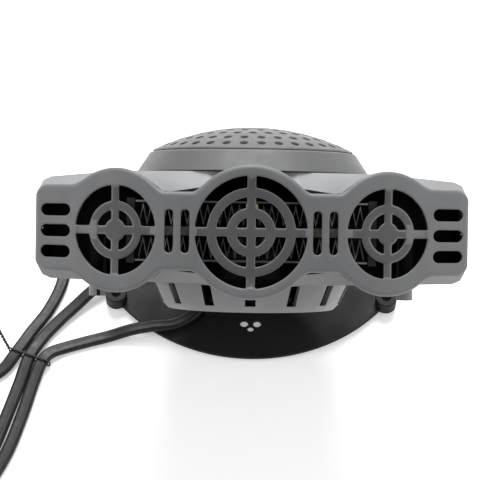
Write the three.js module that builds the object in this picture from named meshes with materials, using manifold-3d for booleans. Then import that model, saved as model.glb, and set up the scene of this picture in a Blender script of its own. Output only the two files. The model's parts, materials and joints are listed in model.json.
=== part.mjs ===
// Portable 12 V car fan heater on a round mounting base.
// Millimetres, +Z up, the front faces -Y, the origin is the centre of the base's underside.
// Head pieces are drawn in the head's own frame: x right, y back from the middle of the front
// face, z up from it. The head then leans back about the tilt screws.
import * as THREE from 'three';
import { mergeVertices } from 'three/addons/utils/BufferGeometryUtils.js';
import Module from 'manifold-3d';

const wasm = await Module();
wasm.setup();

// ---- driving dimensions ----
const GAP = 0.3; // between pieces that touch
const WALL = 2.2; // plastic wall

const BASE_RADIUS = 89;
const PAD_TOP = 1.2;
const PLATE_BOTTOM = PAD_TOP + GAP;
const PLATE_TOP = 3.5;
const PLATE_REAR = 26; // straight rear edge of the plate
const PLATE_CORNER = 24; // how far its rounded corners run along that edge
const LUG = { x: 69.5, y: -55, radius: 5.5, top: 9, hole: 2.2 }; // screw bosses on the front edge
const REAR_HOLE = { x: 68, y: 10 };

const HUB_RADIUS = 22;
const HUB_TOP = 13.5;
const FOOT_BOTTOM = HUB_TOP + 1.4;
const FOOT_TOP = FOOT_BOTTOM + 3;
const ARM_INSIDE = 58; // inner face of each yoke arm
const ARM_THICK = 3;

const PIVOT = { y: -57, z: 74 }; // tilt screws, from the base's centre
const PIVOT_BACK = 60; // tilt screws, from the front face
const PIVOT_UP = 3;
const LEAN = THREE.MathUtils.degToRad(54);

const FRONT_CURVE = 162; // plan radius of the bowed front
const HALF_WIDTH = 100;
const MIDDLE_OUTLET = 29.8; // outer radius of the middle outlet's rim
const SIDE_OUTLET = { x: 61.1, across: 25.9, high: 28 }; // half-axes, seen from the front
const NECK = 17.5;
const WING = { top: 20.5, bottom: 19.2, corner: 6 };
const BEZEL_DEPTH = 10;
const FACE_THICK = 3.5;
const BAR = 1.95; // half the width of a grille's cross bars

const DRUM = { y: 66, radius: 54 };
const BODY_TOP = 27;
const BODY_BOTTOM = -23.5;
const SHOULDER = { x: 60, drop: 2.6, round: 5.5 }; // the casing's top falls away from x to its rounded tips
const LIP = { low: -3.4, high: 1.6, thick: 1 }; // stands inside the upper shell, along the seam
const BOWL = { top: 48.5, low: 43, bottom: -37 };
const RING = { bottom: 55.5, top: 49.6, inner: 45.8, height: 10 };
const DOME = { rim: 48, rise: 11.4, thick: 1.8 };

const CORD = { wide: 6.6, high: 3.4, floor: 1.75 };

// ---- materials ----
const plastic = (color, roughness = 0.6) => new THREE.MeshStandardMaterial({ color, roughness });
const metal = (color, roughness = 0.35) =>
  new THREE.MeshStandardMaterial({ color, roughness, metalness: 1 });
const GREY = plastic(0x6b6c6e);
const MID_GREY = plastic(0x88898b);
const PALE_GREY = plastic(0xbcbdbf);
const BLACK = plastic(0x1c1c1d);
const RUBBER = plastic(0x141414, 0.85);
const PAINTED = new THREE.MeshStandardMaterial({ color: 0x1a1a1a, roughness: 0.5, metalness: 0.3 });
const STEEL = metal(0xb8b8b8);
const ALUMINIUM = metal(0xa9aaac, 0.45);
const BRASS = metal(0xb39252);
const CERAMIC = plastic(0xc9c2b2, 0.7);
const RED = plastic(0xa01818, 0.3);

// ---- helpers ----
const part = new THREE.Group();
const headFrame = new THREE.Group();
headFrame.position.set(0, PIVOT.y, PIVOT.z);
headFrame.rotation.x = -LEAN;
const head = new THREE.Group();
head.position.set(0, -PIVOT_BACK, -PIVOT_UP);
headFrame.add(head);
part.add(headFrame);

function solid(geometry) {
  const bare = geometry.index ? geometry.toNonIndexed() : geometry.clone();
  bare.deleteAttribute('normal');
  bare.deleteAttribute('uv');
  const merged = mergeVertices(bare, 1e-4);
  return new wasm.Manifold(new wasm.Mesh({
    numProp: 3,
    vertProperties: new Float32Array(merged.attributes.position.array),
    triVerts: new Uint32Array(merged.index.array),
  }));
}

function add(name, body, material, parent = head) {
  let geometry = body;
  if (!body.isBufferGeometry) {
    const mesh = body.getMesh();
    geometry = new THREE.BufferGeometry();
    geometry.setAttribute('position', new THREE.BufferAttribute(mesh.vertProperties, 3));
    geometry.setIndex(new THREE.BufferAttribute(mesh.triVerts, 1));
    geometry.computeVertexNormals();
  }
  const mesh = new THREE.Mesh(geometry, material);
  mesh.name = name;
  parent.add(mesh);
  return mesh;
}

const union = (solids) => solids.reduce((sum, s) => sum.add(s));
const points = (list) => list.map(([x, y]) => new THREE.Vector2(x, y));

function prismZ(shape, low, high) {
  const g = new THREE.ExtrudeGeometry(shape, { depth: high - low, bevelEnabled: false, curveSegments: 6 });
  return solid(g.translate(0, 0, low));
}

// A shape drawn in x and z, running from y = front to y = back.
function prismY(shape, front, back) {
  const g = new THREE.ExtrudeGeometry(shape, { depth: back - front, bevelEnabled: false, curveSegments: 6 });
  return solid(g.rotateX(Math.PI / 2).translate(0, back, 0));
}

// A shape drawn in y and z, running from x = low to x = high.
function prismX(shape, low, high) {
  const g = new THREE.ExtrudeGeometry(shape, { depth: high - low, bevelEnabled: false, curveSegments: 6 });
  return solid(g.rotateX(Math.PI / 2).rotateZ(Math.PI / 2).translate(low, 0, 0));
}

function box(x0, x1, y0, y1, z0, z1) {
  const g = new THREE.BoxGeometry(x1 - x0, y1 - y0, z1 - z0);
  return solid(g.translate((x0 + x1) / 2, (y0 + y1) / 2, (z0 + z1) / 2));
}

function rodZ(radius, low, high, x = 0, y = 0, sides = 24, topRadius = radius) {
  const g = new THREE.CylinderGeometry(topRadius, radius, high - low, sides).rotateX(Math.PI / 2);
  return solid(g.translate(x, y, (low + high) / 2));
}

function rodX(radius, low, high, y, z, sides = 24) {
  const g = new THREE.CylinderGeometry(radius, radius, high - low, sides).rotateZ(Math.PI / 2);
  return solid(g.translate((low + high) / 2, y, z));
}

const lathe = (profile, sides = 32) =>
  solid(new THREE.LatheGeometry(points(profile), sides).rotateX(Math.PI / 2));

// ---- the head's outline ----
const bow = (x) => FRONT_CURVE - Math.sqrt(FRONT_CURVE ** 2 - x ** 2);
const smoothMax = (a, b, blend) => {
  const h = Math.max(blend - Math.abs(a - b), 0) / blend;
  return Math.max(a, b) + h * h * blend / 4;
};

// Height of the front outline above (side 1) or below (side -1) the middle, at x.
function outlineHeight(x, side, inset) {
  const away = Math.abs(x);
  const disc = (offset, across, high) => {
    const t = offset / (across - inset);
    return t * t < 1 ? (high - inset) * Math.sqrt(1 - t * t) : 0;
  };
  const middle = disc(away, MIDDLE_OUTLET, MIDDLE_OUTLET);
  const outer = disc(away - SIDE_OUTLET.x, SIDE_OUTLET.across, SIDE_OUTLET.high);
  const wing = side > 0 ? WING.top : WING.bottom;
  let flat = (away < SIDE_OUTLET.x ? NECK : wing) - inset;
  const past = away - (HALF_WIDTH - WING.corner);
  if (past > 0) flat -= WING.corner - Math.sqrt(Math.max(WING.corner ** 2 - past ** 2, 0));
  return smoothMax(Math.max(middle, outer), flat, 4);
}

function outline(inset = 0) {
  const half = HALF_WIDTH - inset;
  const steps = 40;
  const xs = Array.from({ length: steps + 1 }, (_, i) => half * (2 * i / steps - 1));
  xs.splice(1, 0, -half + 1.2);
  xs.splice(-1, 0, half - 1.2);
  const upper = xs.map((x) => [x, outlineHeight(x, 1, inset)]);
  const lower = xs.map((x) => [x, -outlineHeight(x, -1, inset)]).reverse();
  return new THREE.Shape(points([...upper, ...lower].reverse()));
}

// The space between two surfaces that follow the bowed front.
function bowed(from, to, low = -60, high = 60) {
  const steps = 10;
  const reach = HALF_WIDTH + 4;
  const row = (back) => Array.from({ length: steps + 1 }, (_, i) => {
    const x = reach * (2 * i / steps - 1);
    return [x, bow(x) + back];
  });
  return prismZ(new THREE.Shape(points([...row(from), ...row(to).reverse()])), low, high);
}

const outlineSlab = (inset, from, to) => prismY(outline(inset), -5, 90).intersect(bowed(from, to));

// ---- front grille ----
function sector(cx, squash, inner, outer, quarter, steps) {
  // One opening of a round grille, between two rings and two cross bars.
  const clear = BAR;
  const a0 = Math.asin(clear / outer);
  const a1 = Math.PI / 2 - a0;
  const b0 = inner > clear * 1.5 ? Math.asin(clear / inner) : null;
  const list = [];
  for (let i = 0; i <= steps; i += 1) {
    const a = a0 + (a1 - a0) * i / steps;
    list.push([outer * Math.cos(a), outer * Math.sin(a)]);
  }
  if (b0 === null) list.push([clear, clear]);
  else {
    for (let i = steps; i >= 0; i -= 1) {
      const a = b0 + (Math.PI / 2 - 2 * b0) * i / steps;
      list.push([inner * Math.cos(a), inner * Math.sin(a)]);
    }
  }
  const turn = quarter * Math.PI / 2;
  const [c, s] = [Math.cos(turn), Math.sin(turn)];
  return new THREE.Shape(points(list.map(([x, z]) =>
    [cx + (c * x - s * z) * squash, s * x + c * z])));
}

function slot(cx, cz, halfX, halfZ) {
  const r = Math.min(halfX, halfZ);
  const shape = new THREE.Shape();
  const [dx, dz] = [halfX - r, halfZ - r];
  const ends = dx > dz
    ? [[cx + dx, cz, -Math.PI / 2], [cx - dx, cz, Math.PI / 2]]
    : [[cx, cz + dz, 0], [cx, cz - dz, Math.PI]];
  ends.forEach(([x, z, a]) => shape.absarc(x, z, r, a, a + Math.PI, false));
  return shape;
}

const MIDDLE_GAPS = [[0, 6.6, 2], [10.9, 15.5, 3], [19.7, 24.9, 4]];
const SIDE_GAPS = [[5.2, 9.1, 2], [13.2, 20.1, 4]];
const SIDE_SQUASH = 0.925;

function frontGrille() {
  let body = outlineSlab(0, 0, BEZEL_DEPTH);
  body = body.subtract(outlineSlab(WALL, FACE_THICK, BEZEL_DEPTH + 3));
  const openings = [];
  for (let quarter = 0; quarter < 4; quarter += 1) {
    MIDDLE_GAPS.forEach(([inner, outer, steps]) => openings.push(sector(0, 1, inner, outer, quarter, steps)));
    [-1, 1].forEach((side) => SIDE_GAPS.forEach(([inner, outer, steps]) =>
      openings.push(sector(side * SIDE_OUTLET.x, SIDE_SQUASH, inner, outer, quarter, steps))));
  }
  [-1, 1].forEach((side) => {
    [29.2, 36.4].forEach((x) => openings.push(slot(side * x, 0, 1.9, 9.6)));
    [8.8, -0.7, -10.2].forEach((z) => openings.push(slot(side * 89.6, z, 7.2, 2.75)));
  });
  return openings.reduce((grille, shape) => grille.subtract(prismY(shape, -5, 60)), body);
}
add('front_grille', frontGrille(), GREY);

// ---- casing ----
// Cuts the slope that runs from the front opening up to the flat top, or down to the flat bottom.
function slopes(startZ, endZ, run, side) {
  const z0 = side * startZ;
  const z1 = side * endZ;
  const far = side * 70;
  const begin = BEZEL_DEPTH - 2;
  let list = [[-60, z0], [begin, z0], [begin + run, z1], [begin + run, far], [-60, far]];
  if (side < 0) list = list.reverse();
  const wedge = prismX(new THREE.Shape(points(list)), -25, 25);
  const turns = [-32, -16, 0, 16, 32];
  return union(turns.map((a) => wedge.translate([0, -FRONT_CURVE, 0]).rotate([0, 0, a])
    .translate([0, FRONT_CURVE, 0])));
}

function planShape(inset) {
  const r = DRUM.radius - inset;
  const tip = HALF_WIDTH - inset;
  const rear = 47 - inset;
  const start = Math.asin((rear - DRUM.y) / r);
  const list = [[tip, 20], [tip, 50 - inset], [tip - 4, 53 - inset], [tip - 14, 53 - inset], [tip - 32, rear]];
  const steps = 20;
  for (let i = 0; i <= steps; i += 1) {
    const a = start + (Math.PI - 2 * start) * i / steps;
    list.push([r * Math.cos(a), DRUM.y + r * Math.sin(a)]);
  }
  list.push([-tip + 32, rear], [-tip + 14, 53 - inset], [-tip + 4, 53 - inset], [-tip, 50 - inset], [-tip, 20]);
  list.push([-60, -5], [60, -5]);
  return new THREE.Shape(points(list));
}

// The casing seen from the front.
function silhouette(inset) {
  const { drop, round } = SHOULDER;
  const [side, top, bottom] = [HALF_WIDTH - inset, BODY_TOP - inset, BODY_BOTTOM + inset];
  const half = [
    [side - round, bottom], [side - 0.3 * round, bottom + 0.3 * round], [side, bottom + round],
    [side, top - drop - round], [side - 0.3 * round, top - drop - 0.3 * round], [side - round, top - drop],
    [SHOULDER.x, top],
  ];
  return new THREE.Shape(points([...half, ...half.map(([x, z]) => [-x, z]).reverse()]));
}

function bowlSolid(inset) {
  return lathe([
    [0, BOWL.bottom + inset], [BOWL.low - inset - 3, BOWL.bottom + inset],
    [BOWL.low - inset, BOWL.bottom + inset + 3], [BOWL.top - inset, BODY_BOTTOM + 1.5],
    [BOWL.top - inset, 0], [0, 0]]).translate([0, DRUM.y, 0]);
}

function bodySolid(inset, front) {
  const block = prismZ(planShape(inset), BODY_BOTTOM + inset, BODY_TOP - inset);
  return block.intersect(bowed(front, 150))
    .intersect(prismY(silhouette(inset), -10, 150))
    .subtract(slopes(NECK - 3.9 - inset, BODY_TOP + 0.2 - inset, 8, 1))
    .subtract(slopes(NECK - 2.5 - inset, -BODY_BOTTOM + 0.2 - inset, 8, -1))
    .add(outlineSlab(inset, front, BEZEL_DEPTH + 12 - inset))
    .add(bowlSolid(inset));
}

const FRONT_EDGE = BEZEL_DEPTH + GAP;
const BUSH = { y: PIVOT_BACK, z: PIVOT_UP, radius: 5 };
const SWITCH = { wide: 10.3, high: 6.3 };
const BOSSES = [[-71.5, 43, 4], [71.5, 43, 4], [-35.7, 101.7, 3.2], [35.7, 101.7, 3.2]]; // x, y, radius

const sideCuts = rodX(BUSH.radius + GAP, -70, 70, BUSH.y, BUSH.z)
  .add(box(-SWITCH.wide, SWITCH.wide, 105, 135, -SWITCH.high, SWITCH.high));

function casing() {
  let body = bodySolid(0, FRONT_EDGE).subtract(bodySolid(WALL, 5));
  body = body.subtract(rodZ(RING.inner - 1.5, 10, 40, 0, DRUM.y, 42));
  body = body.subtract(rodZ(RING.bottom + 0.5, BODY_TOP, BODY_TOP + 20, 0, DRUM.y, 40)); // the intake ring's seat
  return body.subtract(sideCuts);
}

// A lip along the lower shell's edge that stands inside the upper shell and closes the seam.
function seamLip() {
  const inside = bodySolid(WALL + GAP + LIP.thick, 5);
  const band = (inset, high) => bodySolid(inset, FRONT_EDGE).subtract(inside)
    .intersect(box(-120, 120, -10, 140, LIP.low, high));
  return band(WALL + GAP, LIP.high).add(band(WALL - 0.5, -GAP / 2)).subtract(sideCuts);
}

function lowerShell(whole) {
  let body = whole.intersect(box(-120, 120, -10, 140, -60, -GAP / 2));
  for (let i = 0; i < 14; i += 1) {
    const cut = box(-2.4, 2.4, 30, 60, BOWL.bottom + 3, BODY_BOTTOM - 1);
    body = body.subtract(cut.rotate([0, 0, 360 * i / 14 + 180]).translate([0, DRUM.y, 0]));
  }
  BOSSES.forEach(([x, y, radius]) => {
    body = body.add(rodZ(radius, BODY_BOTTOM - 7.5, -3, x, y, 16));
    body = body.subtract(rodZ(1.6, BODY_BOTTOM - 8, -1, x, y, 10));
    body = body.subtract(rodZ(2.7, BODY_BOTTOM - 8, BODY_BOTTOM - 5.7, x, y, 12));
  });
  return body.add(seamLip());
}

const whole = casing();
add('upper_shell', whole.intersect(box(-120, 120, -10, 140, GAP / 2, 60)), PALE_GREY);
add('lower_shell', lowerShell(whole), PALE_GREY);
BOSSES.forEach(([x, y], i) => add(`shell_screw_${i + 1}`, rodZ(1.2, BODY_BOTTOM - 7, -4, x, y, 10)
  .add(rodZ(2.4, BODY_BOTTOM - 7.3, BODY_BOTTOM - 6, x, y, 12)), STEEL));

// ---- air intake ----
const RING_BOTTOM = BODY_TOP + GAP;
const RING_TOP = RING_BOTTOM + RING.height;
add('intake_ring', lathe([
  [RING.inner, RING_BOTTOM], [RING.bottom, RING_BOTTOM], [RING.top, RING_TOP], [RING.inner, RING_TOP],
  [RING.inner, RING_BOTTOM]]).translate([0, DRUM.y, 0]), MID_GREY);

function domeGrille() {
  const curve = (DOME.rim ** 2 + DOME.rise ** 2) / (2 * DOME.rise);
  const bottom = RING_TOP + GAP;
  const height = (r, drop) => bottom + DOME.rise - curve + Math.sqrt((curve - drop) ** 2 - r ** 2);
  const steps = 5;
  const inner = DOME.rim - 4;
  const profile = [[0, height(0, DOME.thick)]];
  for (let i = 1; i <= steps; i += 1) {
    profile.push([inner * i / steps, height(inner * i / steps, DOME.thick)]);
  }
  profile.push([inner, bottom], [DOME.rim, bottom]);
  for (let i = steps; i >= 0; i -= 1) {
    profile.push([DOME.rim * i / steps, height(DOME.rim * i / steps, 0) + 0.6]);
  }
  return lathe(profile).translate([0, DRUM.y, 0]);
}
add('dome_grille', domeGrille(), MID_GREY);
add('dust_filter', rodZ(RING.inner - 0.5, RING_BOTTOM + 2, RING_BOTTOM + 3.2, 0, DRUM.y, 32), BLACK);

// ---- motor and fan ----
const FLOOR = BOWL.bottom + WALL + GAP;
add('motor_bracket', rodZ(20, FLOOR, FLOOR + 2.5, 0, DRUM.y, 28).add(
  rodZ(17, FLOOR, FLOOR + 8, 0, DRUM.y, 28)).subtract(rodZ(14.5, FLOOR + 2.5, FLOOR + 12, 0, DRUM.y, 28)), BLACK);
add('motor', rodZ(14, FLOOR + 3, FLOOR + 25, 0, DRUM.y, 28).add(
  rodZ(4, FLOOR + 24, FLOOR + 27, 0, DRUM.y, 20)).subtract(
  rodZ(1.4, FLOOR + 20, FLOOR + 30, 0, DRUM.y, 16)), PAINTED);
const FAN = { bottom: FLOOR + 28.5, top: FLOOR + 45, radius: 34, hub: 12 };
add('motor_shaft', rodZ(1.2, FLOOR + 21, FAN.top + 3, 0, DRUM.y, 16), STEEL);

function fan() {
  let body = rodZ(FAN.hub, FAN.bottom, FAN.top, 0, 0, 28).subtract(
    rodZ(FAN.hub - 2, FAN.bottom - 1, FAN.top - 3, 0, 0, 24));
  const middle = (FAN.bottom + FAN.top) / 2;
  for (let i = 0; i < 7; i += 1) {
    const blade = new THREE.BoxGeometry(FAN.radius - FAN.hub + 1.5, 13, 1.4, 3, 1, 1).toNonIndexed();
    const p = blade.attributes.position;
    for (let k = 0; k < p.count; k += 1) {
      const twist = 0.75 - 0.012 * p.getX(k);
      const [y, z] = [p.getY(k), p.getZ(k)];
      p.setY(k, y * Math.cos(twist) - z * Math.sin(twist));
      p.setZ(k, y * Math.sin(twist) + z * Math.cos(twist));
    }
    blade.translate((FAN.radius + FAN.hub - 1.5) / 2, 0, middle).rotateZ(2 * Math.PI * i / 7);
    body = body.add(solid(blade));
  }
  return body.subtract(rodZ(1.5, FAN.bottom - 5, FAN.top + 5, 0, 0, 16)).translate([0, DRUM.y, 0]);
}
add('fan_impeller', fan(), BLACK);
add('fan_nut', rodZ(3.4, FAN.top + GAP, FAN.top + 2.6, 0, DRUM.y, 6).subtract(
  rodZ(1.5, FAN.top - 1, FAN.top + 4, 0, DRUM.y, 16)), BRASS);

// ---- heating element ----
const HEATER = { front: 15, back: 23, half: 53, bar: 2, fin: 12.5 };

function fins(low, high) {
  // A folded strip: one zigzag in x and z, drawn as its upper and its lower line.
  const pitch = 1.8;
  const count = Math.floor(2 * (HEATER.half - 2) / pitch);
  const rise = 0.9; // up and down from the middle of the strip
  const line = (offset) => Array.from({ length: count + 1 }, (_, i) =>
    [(i - count / 2) * pitch, (i % 2 ? high - rise : low + rise) + offset]);
  return prismY(new THREE.Shape(points([...line(-rise), ...line(rise).reverse()])),
    HEATER.front, HEATER.back);
}
add('heater_fins_upper', fins(HEATER.bar + GAP, HEATER.fin), ALUMINIUM);
add('heater_fins_lower', fins(-HEATER.fin, -HEATER.bar - GAP), ALUMINIUM);
add('heater_bar', box(-HEATER.half + 1, HEATER.half - 1, HEATER.front, HEATER.back, -HEATER.bar, HEATER.bar), CERAMIC);
[['upper', 1], ['lower', -1]].forEach(([name, side]) => {
  const zs = [side * (HEATER.fin + GAP), side * (HEATER.fin + 1.2)].sort((a, b) => a - b);
  add(`heater_strip_${name}`, box(-HEATER.half + 1, HEATER.half - 1, HEATER.front, HEATER.back, ...zs), ALUMINIUM);
});
[['left', -1], ['right', 1]].forEach(([name, side]) => {
  const xs = [side * (HEATER.half - 0.7), side * (HEATER.half + 3)].sort((a, b) => a - b);
  add(`heater_end_${name}`, box(...xs, HEATER.front, HEATER.back, -14.6, 14.6), BLACK);
});
add('thermal_cutout', box(38, 49, HEATER.back + GAP, HEATER.back + 4.5, -4, 4), BLACK);
add('thermal_fuse', rodX(1.8, -49, -38, HEATER.back + 2.4, 0, 14), STEEL);

// ---- switch ----
const SWITCH_BACK = DRUM.y + DRUM.radius;
const TRIM = { wide: 12, high: 8 };
const trim = box(-TRIM.wide, TRIM.wide, SWITCH_BACK + GAP, SWITCH_BACK + 2, -TRIM.high, TRIM.high)
  .add(box(-SWITCH.wide + GAP, SWITCH.wide - GAP, SWITCH_BACK - 14, SWITCH_BACK + 1, -SWITCH.high + GAP, SWITCH.high - GAP))
  .subtract(box(-8.6, 8.6, SWITCH_BACK - 9, SWITCH_BACK + 5, -5, 5));
add('switch_body', trim, BLACK);
const rockerProfile = new THREE.Shape();
rockerProfile.moveTo(SWITCH_BACK - 4, -4.2);
rockerProfile.lineTo(SWITCH_BACK + 3.6, -4.5);
rockerProfile.quadraticCurveTo(SWITCH_BACK + 1.4, 0, SWITCH_BACK + 3.6, 4.5);
rockerProfile.lineTo(SWITCH_BACK - 4, 4.2);
add('switch_rocker', prismX(rockerProfile, -8.1, 8.1), RED);

// ---- tilt pivots ----
[['left', -1], ['right', 1]].forEach(([name, side]) => {
  const along = (a, b) => [side * a, side * b].sort((p, q) => p - q);
  const bush = rodX(BUSH.radius, ...along(49, 56), BUSH.y, BUSH.z)
    .add(rodX(8, ...along(54.6, 56.6), BUSH.y, BUSH.z, 28))
    .subtract(rodX(2.4, ...along(40, 60), BUSH.y, BUSH.z, 16));
  add(`pivot_bush_${name}`, bush, BLACK);
  const at = [PIVOT.y, PIVOT.z];
  add(`friction_washer_${name}`, rodX(7.5, ...along(56.9, 57.7), ...at, 28)
    .subtract(rodX(2.4, ...along(50, 60), ...at, 16)), RUBBER, part);
  add(`tilt_screw_${name}`, rodX(2, ...along(50, 62), ...at, 16)
    .add(rodX(5.2, ...along(ARM_INSIDE + ARM_THICK + GAP, 64), ...at, 28))
    .subtract(box(...along(63, 65), at[0] - 0.6, at[0] + 0.6, at[1] - 4, at[1] + 4)), STEEL, part);
});

// ---- yoke ----
function armShape() {
  const end = 9;
  const shape = new THREE.Shape();
  const reach = Math.atan2(PIVOT.z - FOOT_BOTTOM, PIVOT.y);
  shape.moveTo(15, FOOT_BOTTOM);
  shape.lineTo(15, FOOT_TOP + 3);
  shape.absarc(PIVOT.y, PIVOT.z, end, reach - Math.PI / 2, reach + Math.PI / 2, false);
  shape.lineTo(-15, FOOT_TOP + 2);
  shape.lineTo(-15, FOOT_BOTTOM);
  return shape;
}
const outside = ARM_INSIDE + ARM_THICK;
const yoke = prismX(armShape(), -outside, -ARM_INSIDE)
  .add(prismX(armShape(), ARM_INSIDE, outside))
  .add(box(-outside, outside, -15, 15, FOOT_BOTTOM, FOOT_TOP))
  .subtract(rodX(2.4, -70, 70, PIVOT.y, PIVOT.z, 16))
  .subtract(rodZ(3.4, 0, 30, 0, 0, 20));
add('yoke', yoke, BLACK, part);

// ---- swivel and base ----
add('swivel_washer', rodZ(HUB_RADIUS - 3, HUB_TOP + GAP, FOOT_BOTTOM - GAP, 0, 0, 32)
  .subtract(rodZ(3.4, 0, 30, 0, 0, 20)), RUBBER, part);
add('swivel_screw', rodZ(3, 7, FOOT_TOP + 2, 0, 0, 20)
  .add(rodZ(7, FOOT_TOP + GAP, FOOT_TOP + 3.6, 0, 0, 28, 6))
  .subtract(rodZ(2.4, FOOT_TOP + 1.5, FOOT_TOP + 5, 0, 0, 6)), STEEL, part);

const GLAND = { angle: THREE.MathUtils.degToRad(172), z: 7.7 };
const HUB_SCREWS = [90, 210, 330].map((a) => THREE.MathUtils.degToRad(a));
const HUB_SCREW_RADIUS = 14;
const radial = (g) => solid(g.rotateZ(Math.PI / 2)).translate([0, 0, GLAND.z])
  .rotate([0, 0, THREE.MathUtils.radToDeg(GLAND.angle)]);
function hub() {
  let body = rodZ(HUB_RADIUS, PLATE_TOP + GAP, HUB_TOP, 0, 0, 40, HUB_RADIUS - 2);
  body = body.subtract(rodZ(3.4, 5, 30, 0, 0, 20));
  HUB_SCREWS.forEach((a) => {
    body = body.subtract(rodZ(1.5, 0, 10, HUB_SCREW_RADIUS * Math.cos(a), HUB_SCREW_RADIUS * Math.sin(a), 10));
  });
  return body.subtract(radial(new THREE.CylinderGeometry(2.9, 2.9, 12, 16).translate(0, -20, 0)));
}
add('base_hub', hub(), BLACK, part);
HUB_SCREWS.forEach((a, i) => {
  const at = [HUB_SCREW_RADIUS * Math.cos(a), HUB_SCREW_RADIUS * Math.sin(a)];
  add(`hub_screw_${i + 1}`, rodZ(1.2, 0.5, 9, ...at, 10).add(rodZ(2.8, 0.2, PAD_TOP, ...at, 16)), STEEL, part);
});

function basePlate() {
  // A round plate with a straight rear edge: a circle from one rounded rear corner to the other.
  const end = THREE.MathUtils.degToRad(2);
  const shape = new THREE.Shape();
  const edge = Math.sqrt(BASE_RADIUS ** 2 - PLATE_REAR ** 2);
  shape.absarc(0, 0, BASE_RADIUS, Math.PI - end, 2 * Math.PI + end, false);
  shape.quadraticCurveTo(BASE_RADIUS - 0.8, PLATE_REAR, edge - PLATE_CORNER, PLATE_REAR);
  shape.lineTo(PLATE_CORNER - edge, PLATE_REAR);
  shape.quadraticCurveTo(0.8 - BASE_RADIUS, PLATE_REAR, -BASE_RADIUS * Math.cos(end), BASE_RADIUS * Math.sin(end));
  const outer = new THREE.ExtrudeGeometry(shape, {
    depth: PLATE_TOP - PLATE_BOTTOM, bevelEnabled: false, curveSegments: 28,
  }).translate(0, 0, PLATE_BOTTOM);
  let plate = solid(outer);
  [-1, 1].forEach((i) => {
    plate = plate.add(rodZ(LUG.radius, PLATE_BOTTOM, LUG.top, i * LUG.x, LUG.y, 18));
  });
  const holes = [[-3.3, -68.7, 2.1], [3.3, -68.7, 2.1], [0, -71.8, 1.7]];
  [-1, 1].forEach((i) => holes.push([i * LUG.x, LUG.y, LUG.hole], [i * REAR_HOLE.x, REAR_HOLE.y, LUG.hole]));
  HUB_SCREWS.forEach((a) => holes.push([HUB_SCREW_RADIUS * Math.cos(a), HUB_SCREW_RADIUS * Math.sin(a), 1.5]));
  return holes.reduce((sum, [x, y, r]) => sum.subtract(rodZ(r, 0, 12, x, y, 12)), plate);
}
add('base_plate', basePlate(), PAINTED, part);
[['outer', 82, 72, -6], ['inner', 60, 24, PLATE_REAR - 4]].forEach(([name, outer, inner, rear]) => add(
  `base_pad_${name}`, rodZ(outer, 0, PAD_TOP, 0, 0, 36).subtract(rodZ(inner, -1, 3, 0, 0, 36))
    .intersect(box(-90, 90, -90, rear, -1, 3)), RUBBER, part));
add('base_pad_centre', rodZ(9, 0, PAD_TOP), RUBBER, part);

// ---- cord ----
const gland = new THREE.LatheGeometry(points([[0, 0], [2.6, 0], [2.6, 5], [3.8, 5.3], [3.8, 7], [3.6, 22], [0, 22]]), 16)
  .rotateX(Math.PI).translate(0, -17.3, 0);
add('cord_gland', radial(gland), RUBBER, part);

// The lead runs from the gland over the plate to the tie, into a coil, back through the tie, round
// a loop that lies on the plate's edge, through the tie once more and on to the plug.
const LOW = CORD.floor;
const ON_PLATE = 5.5; // cord's middle where it lies on the plate
const IN_TIE = 2.9; // and where it lies on the tie's wire
const LEAD = [
  [-39.3, 5.5, GLAND.z], [-52, 6.8, 6.6], [-66, 5.5, ON_PLATE], [-79, 0, ON_PLATE], [-89.5, -9.5, ON_PLATE],
  [-95, -21, 3.4], [-97.5, -34, LOW], [-99.5, -48, LOW], [-104.5, -62, LOW], [-112, -75.5, 2.2],
  [-118, -87.5, IN_TIE], [-124.5, -98, 2.2], [-134.5, -103.8, LOW], [-148, -105, LOW], [-162, -105, LOW],
  [-177.6, -105, LOW],
];
const LOOP = [
  [-177.6, -181.5, 5.2], [-163, -180.5, 4.4], [-148, -174.5, 2.8], [-134, -162, LOW], [-125, -144, LOW],
  [-119.5, -124, LOW], [-115, -106, 2.2], [-111.2, -90, IN_TIE], [-105.5, -78.5, 2.3], [-98.5, -69, 2.6],
  [-90, -59.5, 3.6], [-80.5, -50, ON_PLATE], [-68, -42.3, ON_PLATE], [-53, -38.6, ON_PLATE],
  [-37.9, -39.5, ON_PLATE], [-27.5, -48.2, ON_PLATE], [-27.5, -61.8, ON_PLATE], [-37.9, -70.5, ON_PLATE],
  [-50, -72.4, ON_PLATE], [-61, -74.3, 4.4], [-72, -77, 2.2], [-83, -80.2, LOW], [-93.5, -83.8, LOW],
  [-101, -87.5, 2.4], [-104.8, -93, IN_TIE], [-108, -105, 2.3], [-112, -124, LOW], [-118, -146, LOW],
  [-128, -166, LOW], [-141, -181.5, 3], [-154, -190, 7], [-168, -193.5, 10.6],
];
const COIL = { x: -177.6, y: -141.5, inner: 18.9, outer: 43.6, high: 7.2, gap: 0.5 };
const PLUG = { x: -168.3, y: -193.5, z: 10.6, angle: 188 };
const TIE = { x: -111.3, y: -90.3, angle: 20, half: 10.9, bottom: 0.9, top: 4.9, wire: 0.8 };

function cordTube(list) {
  const path = new THREE.CatmullRomCurve3(list.map((p) => new THREE.Vector3(...p)), false, 'centripetal');
  const section = new THREE.Shape();
  section.absellipse(0, 0, CORD.high / 2, CORD.wide / 2, 0, 2 * Math.PI);
  const steps = Math.min(60, Math.round(path.getLength() / 9));
  return new THREE.ExtrudeGeometry(section, { steps, extrudePath: path, bevelEnabled: false, curveSegments: 4 });
}
add('cord_lead', solid(cordTube(LEAD.slice(0, -2))), RUBBER, part);
add('cord_loop', solid(cordTube(LOOP.slice(3))), RUBBER, part);
add('cord_coil', lathe([[COIL.inner, 0.05], [COIL.outer, 0.05], [COIL.outer, COIL.high], [COIL.inner, COIL.high],
  [COIL.inner, 0.05]], 32).translate([COIL.x, COIL.y, 0]), RUBBER, part);

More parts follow.
